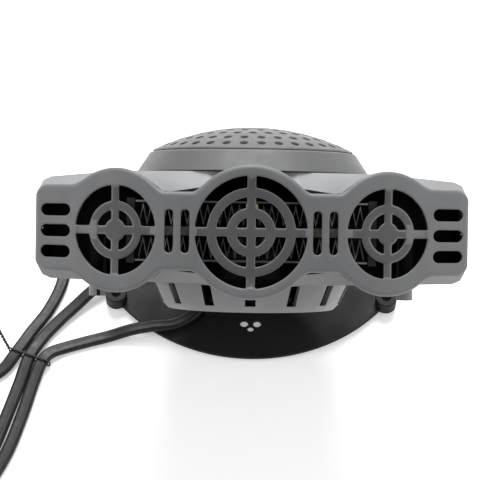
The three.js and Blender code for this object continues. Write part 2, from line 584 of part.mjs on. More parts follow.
const tieRing = box(-TIE.half - TIE.wire, TIE.half + TIE.wire, -0.8, 0.8, TIE.bottom - TIE.wire, TIE.top + TIE.wire)
  .subtract(box(-TIE.half, TIE.half, -2, 2, TIE.bottom, TIE.top));
add('cord_tie', tieRing.rotate([0, 0, -TIE.angle]).translate([TIE.x, TIE.y, 0]), BLACK, part);

// ---- plug: drawn along +Y from the cord's end, then laid down where the cord ends ----
const placed = (body) => body.rotate([0, 0, PLUG.angle - 90]).translate([PLUG.x, PLUG.y, PLUG.z]);
const turned = (profile, sides = 28) =>
  solid(new THREE.LatheGeometry(points(profile), sides));
const PLUG_BODY = [[0, 20.3], [7.5, 20.3], [10, 24], [10.5, 34], [10.5, 56], [9.4, 62], [0, 62]];
const CONTACT = { low: 40, high: 58 };
const slots = union([-1, 1].map((side) => box(...[side * 7.6, side * 12].sort((a, b) => a - b),
  CONTACT.low - GAP, CONTACT.high + GAP, -2.8, 2.8)));
add('plug_relief', placed(turned([[0, GAP], [4.2, GAP], [6.2, 20], [0, 20]], 20)), RUBBER, part);
add('plug_body', placed(turned(PLUG_BODY).subtract(slots)
  .subtract(turned([[0, 50], [3.6, 50], [3.6, 70], [0, 70]], 20))), BLACK, part);
[['left', -1], ['right', 1]].forEach(([name, side]) => {
  const spring = new THREE.Shape();
  spring.moveTo(side * 8, CONTACT.low);
  spring.lineTo(side * 9, CONTACT.low);
  spring.quadraticCurveTo(side * 13.2, (CONTACT.low + CONTACT.high) / 2, side * 9, CONTACT.high);
  spring.lineTo(side * 8, CONTACT.high);
  spring.quadraticCurveTo(side * 11.8, (CONTACT.low + CONTACT.high) / 2, side * 8, CONTACT.low);
  add(`plug_contact_${name}`, placed(prismZ(spring, -2.4, 2.4)), STEEL, part);
});
add('plug_cap', placed(turned([[3.6, 62.3], [9, 62.3], [8.4, 70], [6, 73], [3.6, 73], [3.6, 62.3]])), BLACK, part);
add('plug_tip', placed(turned([[0, 56], [3.2, 56], [3.2, 75], [1.6, 78], [0, 78]], 20)), STEEL, part);

export default part;
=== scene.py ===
"""Looks of a portable 12 V car fan heater on a round base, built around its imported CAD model.

Blender works in metres. Shapes are drawn in millimetres, +Z up, with the front facing -Y, and are
scaled when they become objects. The head's pieces are drawn upright in the head's own frame: x to
the right, y back from the middle of the front face, z up from it.
"""

import json
import math

import bmesh
import bpy
from mathutils import Matrix, Vector
from mathutils.bvhtree import BVHTree


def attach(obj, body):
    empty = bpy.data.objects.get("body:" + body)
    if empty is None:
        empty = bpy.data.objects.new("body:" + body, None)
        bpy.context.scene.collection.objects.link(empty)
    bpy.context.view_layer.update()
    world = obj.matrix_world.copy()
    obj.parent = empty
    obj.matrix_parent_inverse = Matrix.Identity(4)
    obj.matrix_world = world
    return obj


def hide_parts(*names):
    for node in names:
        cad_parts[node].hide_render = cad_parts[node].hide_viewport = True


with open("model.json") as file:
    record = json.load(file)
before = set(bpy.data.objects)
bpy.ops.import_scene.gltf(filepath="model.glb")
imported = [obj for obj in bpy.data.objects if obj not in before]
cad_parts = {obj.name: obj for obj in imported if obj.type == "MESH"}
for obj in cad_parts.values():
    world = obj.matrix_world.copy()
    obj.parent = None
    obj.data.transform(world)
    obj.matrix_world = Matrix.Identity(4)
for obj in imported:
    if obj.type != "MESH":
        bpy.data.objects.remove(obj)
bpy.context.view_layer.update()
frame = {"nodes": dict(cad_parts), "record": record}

MM = 0.001
SCALE = Matrix.Scale(MM, 4)
LEAN = math.radians(54)
PIVOT = Vector((0, -57, 74))
PIVOT_IN_HEAD = Vector((0, 60, 3))
HEAD = SCALE @ Matrix.Translation(PIVOT) @ Matrix.Rotation(-LEAN, 4, "X")
HEAD = HEAD @ Matrix.Translation(-PIVOT_IN_HEAD)

# ---- driving dimensions of the head, as the CAD model has them, apart from the bars' recess ----
FRONT_CURVE = 162  # plan radius of the bowed front
HALF_WIDTH = 100
MIDDLE_OUTLET = 29.8
SIDE_X, SIDE_ACROSS, SIDE_HIGH = 61.1, 25.9, 28
NECK = 17.5
WING_TOP, WING_BOTTOM, WING_CORNER = 20.5, 19.2, 6
BEZEL_DEPTH = 10
FACE_THICK = 3.5
WALL = 2.2
BAR = 1.95
MIDDLE_GAPS = [(0, 6.6), (10.9, 15.5), (19.7, 24.9)]
SIDE_GAPS = [(5.2, 9.1), (13.2, 20.1)]
SIDE_SQUASH = 0.925
NECK_SLOTS, NECK_SLOT_HALF = (29.2, 36.4), (1.9, 9.6)
WING_SLOTS, WING_SLOT_X, WING_SLOT_HALF = (8.8, -0.7, -10.2), 89.6, (7.2, 2.75)
JOIN = 4  # how far the outline's arcs and straight runs blend into each other
BAR_RECESS, RECESS_RUN = 1.3, 2  # the rings and bars lie this far behind the rims, after this run
DRUM_Y = 66
RING_BOTTOM, RING_TOP = 27.3, 37.3
DOME_BOTTOM, DOME_RIM, DOME_RISE = 37.6, 48, 11.4

# ---- driving dimensions of the base ----
BASE_RADIUS = 89
PLATE_BOTTOM, PLATE_TOP = 1.5, 3.5
PLATE_REAR, PLATE_CORNER = 26, 24
LUG_X, LUG_Y, LUG_RADIUS, LUG_TOP, LUG_HOLE = 69.5, -55, 5.5, 9, 2.2
REAR_HOLE_X, REAR_HOLE_Y = 68, 10
HUB_SCREW_RADIUS, HUB_SCREW_HOLE = 14, 1.5
FRONT_HOLES = [(2.1, -3.3, -68.7), (2.1, 3.3, -68.7), (1.7, 0, -71.8)]  # radius, x, y


# ---- camera ----
def make_camera():
    data = bpy.data.cameras.new("camera")
    data.lens = 112.5
    data.sensor_width = 36
    camera = bpy.data.objects.new("camera", data)
    bpy.context.scene.collection.objects.link(camera)
    place = Matrix.Translation((0.0025, -0.4743, 0.657))
    tip = Matrix.Rotation(math.radians(35), 4, "X")
    pan = Matrix.Rotation(math.radians(0.64), 4, "Y")
    roll = Matrix.Rotation(math.radians(0.9), 4, "Z")
    camera.matrix_world = place @ tip @ pan @ roll
    bpy.context.scene.camera = camera


make_camera()


# ---- materials ----
class Nodes:
    """A material's node tree, with short calls for the nodes used here."""

    def __init__(self, name):
        self.material = bpy.data.materials.new(name)
        self.material.use_nodes = True
        self.tree = self.material.node_tree
        self.shader = self.tree.nodes["Principled BSDF"]
        self.where = self.tree.nodes.new("ShaderNodeTexCoord").outputs["Object"]

    def noise(self, scale, detail=3, stretch=None):
        """Noise over the object's own coordinates, which are metres: scale is cells in a metre."""
        source = self.where
        if stretch:
            mapping = self.tree.nodes.new("ShaderNodeMapping")
            mapping.inputs["Scale"].default_value = stretch
            self.tree.links.new(source, mapping.inputs["Vector"])
            source = mapping.outputs["Vector"]
        node = self.tree.nodes.new("ShaderNodeTexNoise")
        node.inputs["Scale"].default_value = scale
        node.inputs["Detail"].default_value = detail
        self.tree.links.new(source, node.inputs["Vector"])
        return node.outputs["Fac"]

    def blend(self, factor, low, high, start=0.35, end=0.65):
        ramp = self.tree.nodes.new("ShaderNodeValToRGB")
        ramp.color_ramp.elements[0].position = start
        ramp.color_ramp.elements[1].position = end
        ramp.color_ramp.elements[0].color = low
        ramp.color_ramp.elements[1].color = high
        self.tree.links.new(factor, ramp.inputs["Fac"])
        return ramp.outputs["Color"]

    def spread(self, factor, low, high):
        node = self.tree.nodes.new("ShaderNodeMapRange")
        node.inputs["From Min"].default_value = 0.3
        node.inputs["From Max"].default_value = 0.7
        node.inputs["To Min"].default_value = low
        node.inputs["To Max"].default_value = high
        self.tree.links.new(factor, node.inputs["Value"])
        return node.outputs["Result"]

    def bump(self, height, strength, depth_mm):
        node = self.tree.nodes.new("ShaderNodeBump")
        node.inputs["Strength"].default_value = strength
        node.inputs["Distance"].default_value = depth_mm * MM
        self.tree.links.new(height, node.inputs["Height"])
        self.link(node.outputs["Normal"], "Normal")

    def link(self, output, socket):
        self.tree.links.new(output, self.shader.inputs[socket])

    def put(self, **values):
        for socket, value in values.items():
            self.shader.inputs[socket.replace("_", " ")].default_value = value


def shades(colour, dark, light):
    return [(*[c * factor for c in colour], 1) for factor in (dark, light)]


def moulded(name, colour, roughness, grain=1900, depth=0.05, specular=0.4):
    """Injection-moulded plastic: spark-eroded grain, faint flow marks and handling shine."""
    nodes = Nodes(name)
    nodes.link(nodes.blend(nodes.noise(55, 4), *shades(colour, 0.93, 1.06)), "Base Color")
    nodes.link(nodes.spread(nodes.noise(140, 3), roughness - 0.06, roughness + 0.06), "Roughness")
    nodes.bump(nodes.noise(grain, 2), 0.35, depth)
    nodes.put(Specular_IOR_Level=specular)
    return nodes.material


def rubbery(name, colour, roughness, streak=None):
    """Soft PVC: shallow drawn streaks or a dull skin, with a little dust in patches."""
    nodes = Nodes(name)
    nodes.link(nodes.blend(nodes.noise(120, 5), *shades(colour, 0.8, 1.35)), "Base Color")
    nodes.link(nodes.spread(nodes.noise(300, 3, streak), roughness - 0.08, roughness + 0.1), "Roughness")
    nodes.bump(nodes.noise(900, 3, streak), 0.2, 0.04)
    nodes.put(Specular_IOR_Level=0.3)
    return nodes.material


def painted(name, colour, roughness):
    """Baked satin paint over sheet steel: fine orange peel and slight shine changes."""
    nodes = Nodes(name)
    nodes.link(nodes.blend(nodes.noise(30, 4), *shades(colour, 0.85, 1.2)), "Base Color")
    nodes.link(nodes.spread(nodes.noise(70, 4), roughness - 0.05, roughness + 0.08), "Roughness")
    nodes.bump(nodes.noise(1300, 2), 0.25, 0.03)
    nodes.put(Specular_IOR_Level=0.25)
    return nodes.material


def metal(name, colour, roughness, stretch=(1, 1, 14), metallic=1.0):
    """Bare metal with drawn or turned marks along one direction."""
    nodes = Nodes(name)
    nodes.link(nodes.blend(nodes.noise(260, 4), *shades(colour, 0.85, 1.08)), "Base Color")
    nodes.link(nodes.spread(nodes.noise(420, 4, stretch), roughness - 0.08, roughness + 0.12), "Roughness")
    nodes.bump(nodes.noise(900, 2, stretch), 0.15, 0.02)
    nodes.put(Metallic=metallic)
    return nodes.material


def ceramic(name, colour):
    nodes = Nodes(name)
    nodes.link(nodes.blend(nodes.noise(700, 5), *shades(colour, 0.75, 1.1)), "Base Color")
    nodes.link(nodes.spread(nodes.noise(900, 3), 0.65, 0.85), "Roughness")
    nodes.bump(nodes.noise(2400, 3), 0.4, 0.05)
    return nodes.material


def foam(name, colour):
    """Open-cell filter foam, with painted shade in its cells."""
    nodes = Nodes(name)
    # Painted shade: the colour follows the same noise as the bump below, so the pits are darker.
    nodes.link(nodes.blend(nodes.noise(1100, 4), *shades(colour, 0.35, 1.3)), "Base Color")
    nodes.link(nodes.spread(nodes.noise(600, 2), 0.85, 0.98), "Roughness")
    nodes.bump(nodes.noise(1100, 4), 0.9, 0.4)
    return nodes.material


MATERIALS = {
    "grey": moulded("moulded_grey", (0.118, 0.12, 0.123), 0.55),
    "mid_grey": moulded("moulded_mid_grey", (0.088, 0.089, 0.091), 0.55),
    "pale_grey": moulded("moulded_pale_grey", (0.27, 0.273, 0.278), 0.5),
    "black_plastic": moulded("moulded_black", (0.014, 0.014, 0.015), 0.45),
    "rubber": rubbery("soft_pvc_black", (0.009, 0.009, 0.009), 0.42),
    "painted_steel": painted("satin_black_paint", (0.0085, 0.0085, 0.009), 0.6),
    "steel": metal("zinc_plated_steel", (0.62, 0.62, 0.63), 0.32),
    "aluminium": metal("mill_finish_aluminium", (0.3, 0.3, 0.31), 0.5, metallic=0.5),
    "brass": metal("turned_brass", (0.62, 0.47, 0.22), 0.3),
    "ceramic": ceramic("heater_ceramic", (0.2, 0.185, 0.155)),
    "red_plastic": moulded("glossy_red", (0.42, 0.01, 0.01), 0.22, depth=0.01),
}
FILTER_FOAM = foam("filter_foam", (0.03, 0.03, 0.03))
# The next three are painted shade: darker copies of the casing's and grille's own plastic, not other
# materials. They match how dark the lower casing, the recessed bars and the inside look in shade.
LOWER_SHELL_PAINTED_SHADE = moulded("moulded_pale_grey_painted_shade", (0.18, 0.182, 0.186), 0.5)
BAR_FRONT_PAINTED_SHADE = moulded("moulded_grey_bars_painted_shade", (0.055, 0.056, 0.058), 0.6)
INSIDE_PAINTED_SHADE = moulded("casing_inside_painted_shade", (0.012, 0.012, 0.012), 0.75, specular=0.1)


# ---- mesh helpers ----
def smooth_shaded(piece, angle=38):
    """Smooth shading, with a crease wherever two faces meet at more than the angle."""
    mesh = piece.data
    mesh.polygons.foreach_set("use_smooth", [True] * len(mesh.polygons))
    bm = bmesh.new()
    bm.from_mesh(mesh)
    for edge in bm.edges:
        if len(edge.link_faces) == 2:
            edge.smooth = edge.calc_face_angle(0) < math.radians(angle)
    bm.to_mesh(mesh)
    bm.free()
    normals = piece.modifiers.new("weighted_normals", "WEIGHTED_NORMAL")
    normals.keep_sharp = True


def piece_from(bm, name, slot, body, replaced, placing=SCALE, angle=38):
    """Turns a bmesh in millimetres into a placed, shaded piece that rides on a CAD body."""
    bmesh.ops.remove_doubles(bm, verts=bm.verts, dist=0.0005)
    bmesh.ops.recalc_face_normals(bm, faces=bm.faces)
    mesh = bpy.data.meshes.new(name)
    bm.to_mesh(mesh)
    bm.free()
    mesh.transform(placing)
    mesh.materials.append(MATERIALS[slot])
    piece = bpy.data.objects.new(name, mesh)
    bpy.context.scene.collection.objects.link(piece)
    smooth_shaded(piece, angle)
    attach(piece, body)
    if replaced:
        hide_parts(*replaced)
    return piece


def bridge(bm, ring, following):
    """Faces between two closed rings of the same number of vertices."""
    count = len(ring)
    for i in range(count):
        j = (i + 1) % count
        bm.faces.new((ring[i], ring[j], following[j], following[i]))


def swept(bm, rings):
    """A skin over rings of points, closed at both ends."""
    made = [[bm.verts.new(p) for p in ring] for ring in rings]
    for ring, following in zip(made, made[1:]):
        bridge(bm, ring, following)
    bm.faces.new(made[0])
    bm.faces.new(list(reversed(made[-1])))


def turned(bm, profile, centre=(0, 0), sides=96):
    """A closed profile of (radius, height) turned about a vertical axis."""
    rings = []
    for i in range(sides):
        a = 2 * math.pi * i / sides
        rings.append([(centre[0] + r * math.cos(a), centre[1] + r * math.sin(a), z) for r, z in profile])
    made = [[bm.verts.new(p) for p in ring] for ring in rings]
    for i in range(sides):
        bridge(bm, made[i], made[(i + 1) % sides])


def arc(cx, cy, radius, start, end, steps):
    """Points of an arc, with its angles in degrees."""
    angles = [math.radians(start + (end - start) * i / steps) for i in range(steps + 1)]
    return [(cx + radius * math.cos(a), cy + radius * math.sin(a)) for a in angles]


def grown(outline, by):
    """A closed outline moved outwards by a distance. The outline runs anticlockwise."""
    made = []
    count = len(outline)
    for i in range(count):
        here = Vector(outline[i])
        before = (here - Vector(outline[i - 1])).normalized()
        after = (Vector(outline[(i + 1) % count]) - here).normalized()
        normal = Vector((before.y + after.y, -before.x - after.x))
        if normal.length < 1e-6:
            normal = Vector((before.y, -before.x))
        normal.normalize()
        mitre = max(normal.dot(Vector((before.y, -before.x))), 0.5)
        made.append(tuple(here + normal * by / mitre))
    return made


def anticlockwise(outline):
    area = sum(a[0] * b[1] - b[0] * a[1] for a, b in zip(outline, outline[1:] + outline[:1]))
    return outline if area > 0 else outline[::-1]


def rounded(outline, radius, steps=4, turn=35):
    """An outline with its sharp corners replaced by short curves."""
    made = []
    count = len(outline)
    for i in range(count):
        before, here, after = (Vector(outline[k % count]) for k in (i - 1, i, i + 1))
        inward, outward = here - before, after - here
        if math.degrees(abs(inward.angle_signed(outward))) < turn:
            made.append(tuple(here))
            continue
        start = here - inward.normalized() * min(radius, inward.length * 0.45)
        end = here + outward.normalized() * min(radius, outward.length * 0.45)
        for k in range(steps + 1):
            t = k / steps
            made.append(tuple(start * (1 - t) ** 2 + here * 2 * t * (1 - t) + end * t ** 2))
    return made


def drilled(bm, rings, holes, fillet, thick, cuts, shape):
    """A sheet with holes. rings are (outline, depth) from the front's edge round to the back's edge.

    The flat sheet is cut into strips at the given u and v, and shape then puts each point
    (u, v, depth) where it belongs.
    """
    made = [[bm.verts.new((u, v, depth)) for u, v in outline] for outline, depth in rings]
    for ring, following in zip(made, made[1:]):
        bridge(bm, ring, following)
    front, back = list(made[0]), list(made[-1])
    edges = {"front": [made[0]], "back": [made[-1]]}
    for hole in holes:
        walls = []
        for i in range(4):
            a = math.pi / 2 * i / 3
            step = grown(hole, fillet * (1 - math.sin(a)))
            walls.append([bm.verts.new((u, v, fillet * (1 - math.cos(a)))) for u, v in step])
        walls.append([bm.verts.new((u, v, thick)) for u, v in hole])
        for ring, following in zip(walls, walls[1:]):
            bridge(bm, ring, following)
        edges["front"].append(walls[0])
        edges["back"].append(walls[-1])
    for loops in edges.values():
        lines = []
        for loop in loops:
            for a, b in zip(loop, loop[1:] + loop[:1]):
                lines.append(bm.edges.get((a, b)) or bm.edges.new((a, b)))
        bmesh.ops.triangle_fill(bm, edges=lines, use_beauty=True)
    for axis, places in cuts.items():
        for place in places:
            point = [0, 0, 0]
            normal = [0, 0, 0]
            point[axis] = place
            normal[axis] = 1
            everything = bm.verts[:] + bm.edges[:] + bm.faces[:]
            bmesh.ops.bisect_plane(bm, geom=everything, dist=1e-5, plane_co=point, plane_no=normal)
    for vertex in bm.verts:
        vertex.co = shape(*vertex.co)


def every(low, high, step):
    count = int(round((high - low) / step))
    return [low + (high - low) * i / count for i in range(count + 1)]


# ---- cord ----
CORD_WIDE, CORD_HIGH = 6.6, 3.4
LOW = 1.75  # middle of the cord where it lies on the floor
ON_PLATE = 5.5
IN_TIE = 2.9
COIL_X, COIL_Y = -177.6, -141.5
LEAD = [
    (-39.3, 5.5, 7.7), (-52, 6.8, 6.6), (-66, 5.5, ON_PLATE), (-79, 0, ON_PLATE),
    (-89.5, -9.5, ON_PLATE), (-95, -21, 3.4), (-97.5, -34, LOW), (-99.5, -48, LOW),
    (-104.5, -62, LOW), (-112, -75.5, 2.2), (-118, -87.5, IN_TIE), (-124.5, -98, 2.2),
    (-134.5, -103.8, LOW), (-148, -105, LOW), (-162, -105, LOW),
]
LOOP = [
    (-163, -180.5, 4.4), (-148, -174.5, 2.8), (-134, -162, LOW), (-125, -144, LOW),
    (-119.5, -124, LOW), (-115, -106, 2.2), (-111.2, -90, IN_TIE), (-105.5, -78.5, 2.3),
    (-98.5, -69, 2.6), (-90, -59.5, 3.6), (-80.5, -50, ON_PLATE), (-68, -42.3, ON_PLATE),
    (-53, -38.6, ON_PLATE), (-37.9, -39.5, ON_PLATE), (-27.5, -48.2, ON_PLATE),
    (-27.5, -61.8, ON_PLATE), (-37.9, -70.5, ON_PLATE), (-50, -72.4, ON_PLATE), (-61, -74.3, 4.4),
    (-72, -77, 2.2), (-83, -80.2, LOW), (-93.5, -83.8, LOW), (-101, -87.5, 2.4),
    (-104.8, -93, IN_TIE), (-108, -105, 2.3), (-112, -124, LOW), (-118, -146, LOW),
    (-128, -166, LOW), (-141, -181.5, 3), (-154, -190, 7), (-168, -193.5, 10.6),
]


def coil_points():
    """Two turns inwards on the floor, then two and a half turns outwards on top of them."""
    points = []
    per_turn = 24
    for i in range(int(4.5 * per_turn) + 1):
        t = i / per_turn
        radius = 36.5 - 7 * t if t <= 2 else 22.5 + 7 * (t - 2)
        rise = min(max((t - 1.9) / 0.2, 0), 1)
        a = math.radians(90 + 360 * t)
        height = LOW + 3.5 * rise * rise * (3 - 2 * rise)
        points.append((COIL_X + radius * math.cos(a), COIL_Y + radius * math.sin(a), height))
    return points


def through(points, spacing=2.4):
    """A smooth centripetal Catmull-Rom line through the points, sampled evenly."""
    points = [Vector(p) for p in points]
    points = [points[0] * 2 - points[1], *points, points[-1] * 2 - points[-2]]
    line = []
    for p0, p1, p2, p3 in zip(points, points[1:], points[2:], points[3:]):
        t1 = (p1 - p0).length ** 0.5
        t2 = t1 + (p2 - p1).length ** 0.5
        t3 = t2 + (p3 - p2).length ** 0.5
        steps = max(2, round((p2 - p1).length / spacing))
        for i in range(steps):
            t = t1 + (t2 - t1) * i / steps
            a1 = p0 * ((t1 - t) / t1) + p1 * (t / t1)
            a2 = p1 * ((t2 - t) / (t2 - t1)) + p2 * ((t - t1) / (t2 - t1))
            a3 = p2 * ((t3 - t) / (t3 - t2)) + p3 * ((t - t2) / (t3 - t2))
            b1 = a1 * ((t2 - t) / t2) + a2 * (t / t2)
            b2 = a2 * ((t3 - t) / (t3 - t1)) + a3 * ((t - t1) / (t3 - t1))
            line.append(b1 * ((t2 - t) / (t2 - t1)) + b2 * ((t - t1) / (t2 - t1)))
    line.append(points[-2])
    return line


def twin_section():
    """Outline of a flat twin lead: two round cores side by side, with a groove between them."""
    radius = CORD_HIGH / 2
    middle = CORD_WIDE / 2 - radius
    groove = 62
    right = arc(middle, 0, radius, -180 + groove, 180 - groove, 10)
    left = arc(-middle, 0, radius, groove, 360 - groove, 10)
    return right + left


def cord_rings(line, section):
    rings = []
    for i, here in enumerate(line):
        ahead = line[min(i + 1, len(line) - 1)] - line[max(i - 1, 0)]
        side = ahead.cross(Vector((0, 0, 1))).normalized()
        up = side.cross(ahead).normalized()
        rings.append([here + side * u + up * v for u, v in section])
    return rings


def make_cord():
    line = through(LEAD + coil_points() + LOOP)
    bm = bmesh.new()
    swept(bm, cord_rings(line, twin_section()))
    nodes = ("cord_lead", "cord_loop", "cord_coil")
    piece = piece_from(bm, "twin_cord", "rubber", "base", nodes, angle=60)
    return piece, [tuple(p * MM) for p in line]


# ---- the tie: a wire round the bundle, with its ends twisted together ----
TIE_X, TIE_Y, TIE_ANGLE = -111.3, -90.3, -20
TIE_WIRE, STRAND_WIRE = 0.45, 0.42
TWISTS, TWIST_STEPS = 3.5, 40


def make_tie():
    half, low, high, corner = 11.3, 0.5, 5.3, 1.6
    corners = [(half, low), (half, high), (-half, high), (-half, low)]
    wire = rounded(corners, corner, 5)
    bm = bmesh.new()
    turn = Matrix.Rotation(math.radians(TIE_ANGLE), 3, "Z")
    loop = [turn @ Vector((x, 0, z)) + Vector((TIE_X, TIE_Y, 0)) for x, z in wire]
    section = arc(0, 0, TIE_WIRE, 0, 315, 7)
    rings = []
    for i, here in enumerate(loop):
        ahead = (loop[(i + 1) % len(loop)] - loop[i - 1]).normalized()
        side = (turn @ Vector((0, 1, 0))).normalized()
        up = ahead.cross(side).normalized()
        rings.append([bm.verts.new(here + side * u + up * v) for u, v in section])
    for i, ring in enumerate(rings):
        bridge(bm, ring, rings[(i + 1) % len(rings)])
    root = turn @ Vector((-half, 0, high - 0.6)) + Vector((TIE_X, TIE_Y, 0))
    tip = root + Vector((-6.5, 10.5, 1.6))
    along = (tip - root).normalized()
    across = along.cross(Vector((0, 0, 1))).normalized()
    upward = across.cross(along)
    for strand in (0, math.pi):
        line = []
        for i in range(TWIST_STEPS + 1):
            share = i / TWIST_STEPS
            a = strand + 2 * math.pi * TWISTS * share
            spread = TIE_WIRE + 1.6 * max(0, share - 0.86)
            line.append(root.lerp(tip, share) + (across * math.cos(a) + upward * math.sin(a)) * spread)
        swept(bm, cord_rings(line, arc(0, 0, STRAND_WIRE, 0, 315, 7)))
    return piece_from(bm, "wire_tie", "black_plastic", "base", ("cord_tie",))


cord, cord_path = make_cord()
tie = make_tie()


# ---- front grille ----
def bow(x):
    return FRONT_CURVE - math.sqrt(FRONT_CURVE ** 2 - x ** 2)


def smooth_max(a, b, blend):
    h = max(blend - abs(a - b), 0) / blend
    return max(a, b) + h * h * blend / 4


def outline_height(x, upper, inset):
    """Height of the front's outline above or below the middle, at x."""
    away = abs(x)

    def disc(offset, across, high):
        t = offset / (across - inset)
        return (high - inset) * math.sqrt(1 - t * t) if t * t < 1 else 0

    middle = disc(away, MIDDLE_OUTLET, MIDDLE_OUTLET)
    outer = disc(away - SIDE_X, SIDE_ACROSS, SIDE_HIGH)
    wing = WING_TOP if upper else WING_BOTTOM
    flat = (NECK if away < SIDE_X else wing) - inset
    past = away - (HALF_WIDTH - WING_CORNER)
    if past > 0:
        flat -= WING_CORNER - math.sqrt(max(WING_CORNER ** 2 - past ** 2, 0))
    return smooth_max(max(middle, outer), flat, JOIN)


def front_outline(inset):
    inner = HALF_WIDTH - WING_CORNER
    corner = [(inner + WING_CORNER * math.sin(math.pi / 2 * i / 8)) / HALF_WIDTH for i in range(9)]
    places = every(-inner / HALF_WIDTH, inner / HALF_WIDTH, 1 / 90)
    shares = [-c for c in corner[:0:-1]] + places + corner[1:]
    xs = [share * (HALF_WIDTH - inset) for share in shares]
    upper = [(x, outline_height(x, True, inset)) for x in reversed(xs)]
    lower = [(x, -outline_height(x, False, inset)) for x in xs]
    return lower + upper


def sector(cx, squash, inner, outer, quarter):
    """One opening of a round grille, between two rings and two cross bars."""
    a0 = math.degrees(math.asin(BAR / outer))
    points = arc(0, 0, outer, a0, 90 - a0, max(6, round(outer)))
    if inner > BAR * 1.5:
        b0 = math.degrees(math.asin(BAR / inner))
        points += arc(0, 0, inner, 90 - b0, b0, max(5, round(inner)))
    else:
        points.append((BAR, BAR))
    turn = Matrix.Rotation(math.pi / 2 * quarter, 2)
    points = [turn @ Vector(p) for p in points]
    return rounded(anticlockwise([(cx + p.x * squash, p.y) for p in points]), 0.9)


def slot_outline(cx, cz, half_x, half_z):
    r = min(half_x, half_z)
    dx, dz = half_x - r, half_z - r
    if dx > dz:
        return arc(cx + dx, cz, r, -90, 90, 10) + arc(cx - dx, cz, r, 90, 270, 10)
    return arc(cx, cz + dz, r, 0, 180, 10) + arc(cx, cz - dz, r, 180, 360, 10)


def grille_openings():
    openings = []
    for quarter in range(4):
        openings += [sector(0, 1, inner, outer, quarter) for inner, outer in MIDDLE_GAPS]
        for side in (-1, 1):
            openings += [sector(side * SIDE_X, SIDE_SQUASH, a, b, quarter) for a, b in SIDE_GAPS]
    for side in (-1, 1):
        openings += [slot_outline(side * x, 0, *NECK_SLOT_HALF) for x in NECK_SLOTS]
        openings += [slot_outline(side * WING_SLOT_X, z, *WING_SLOT_HALF) for z in WING_SLOTS]
    return openings


def recess(x, z):
    """How far the rings and cross bars of an outlet lie behind its rim."""
    middle = math.hypot(x, z) - MIDDLE_GAPS[-1][1]
    side = math.hypot((abs(x) - SIDE_X) / SIDE_SQUASH, z) - SIDE_GAPS[-1][1]
    return BAR_RECESS * min(max(-min(middle, side) / RECESS_RUN, 0), 1)


def shade_bars(piece):
    """Paints shade on the flat fronts of the recessed rings and bars: a darker tone than their rounded
    edges.
    """
    deep, facing = 1, 0.9
    piece.data.materials.append(BAR_FRONT_PAINTED_SHADE)
    to_head = HEAD.inverted()
    forward = (HEAD.to_3x3() @ Vector((0, -1, 0))).normalized()
    for face in piece.data.polygons:
        at = to_head @ face.center
        if recess(at.x, at.z) > deep and face.normal.dot(forward) > facing:
            face.material_index = 1


def make_grille():
    edge, rear_edge, fillet = 2.0, 0.4, 0.8
    steps = 5
    rings = []
    for i in range(steps + 1):
        a = math.pi / 2 * i / steps
        rings.append((front_outline(edge * (1 - math.sin(a))), edge * (1 - math.cos(a))))
    rings += [(front_outline(0), BEZEL_DEPTH - rear_edge), (front_outline(rear_edge), BEZEL_DEPTH)]
    rings += [(front_outline(WALL), BEZEL_DEPTH), (front_outline(WALL), FACE_THICK)]
    bm = bmesh.new()
    cuts = {0: every(-99, 99, 3)}
    drilled(bm, rings, grille_openings(), fillet, FACE_THICK, cuts,
            lambda u, v, depth: (u, bow(u) + depth + recess(u, v), v))
    piece = piece_from(bm, "outlet_grille", "grey", "head", ("front_grille",), HEAD)
    shade_bars(piece)
    return piece


grille = make_grille()


# ---- air intake ----
def dome_height(r):
    curve = (DOME_RIM ** 2 + DOME_RISE ** 2) / (2 * DOME_RISE)
    return DOME_BOTTOM + 0.6 + DOME_RISE - curve + math.sqrt(curve ** 2 - r ** 2)


def circle(radius, cx=0, cy=0, sides=18):
    return arc(cx, cy, radius, 0, 360 - 360 / sides, sides - 1)


def make_dome():
    rim, thick, seat, hole = DOME_RIM, 1.8, 45.8, 1.9
    rings = [(circle(rim - 0.6, sides=120), 0), (circle(rim - 0.15, sides=120), 0.15)]
    rings.append((circle(rim, sides=120), dome_height(rim) - DOME_BOTTOM))
    rings.append((circle(seat, sides=120), dome_height(seat) - DOME_BOTTOM))
    rings.append((circle(seat, sides=120), thick))
    # Each row of holes: its radius, its number of holes and its turn in parts of the spacing.
    rows = [(43.2, 34, 0.5), (35.8, 29, 0.5), (28, 24, 0), (20.3, 17, 0.5), (12.6, 11, 0), (5.3, 6, 0)]
    holes = []
    for radius, count, shift in rows:
        for i in range(count):
            a = math.radians(-90 + 360 * (i + shift) / count)
            holes.append(circle(hole, radius * math.cos(a), radius * math.sin(a)))
    bm = bmesh.new()
    cuts = {0: every(-48, 48, 4), 1: every(-48, 48, 4)}
    drilled(bm, rings, holes, 0.3, thick, cuts,
            lambda u, v, depth: (u, DRUM_Y + v, dome_height(min(math.hypot(u, v), rim)) - depth))
    piece_from(bm, "intake_dome", "mid_grey", "head", ("dome_grille",), HEAD)


def make_ring():
    inner, wide, top = 45.8, 55.5, 49.6
    edge, shoulder = 0.3, 2.2
    profile = [(inner, RING_BOTTOM), (wide - edge, RING_BOTTOM), (wide, RING_BOTTOM + edge)]
    profile += arc(top - 1.6, RING_TOP - shoulder, shoulder, 20, 90, 6)
    profile += [(inner + edge, RING_TOP), (inner, RING_TOP - edge)]
    bm = bmesh.new()
    turned(bm, profile, (0, DRUM_Y), 144)
    piece_from(bm, "intake_collar", "mid_grey", "head", ("intake_ring",), HEAD)


make_dome()
make_ring()


# ---- base plate ----
def curve(start, control, end, steps=10):
    """Points of a quadratic curve, without its last one."""
    start, control, end = Vector(start), Vector(control), Vector(end)
    shares = [i / steps for i in range(steps)]
    return [tuple(start * (1 - t) ** 2 + control * 2 * t * (1 - t) + end * t ** 2) for t in shares]


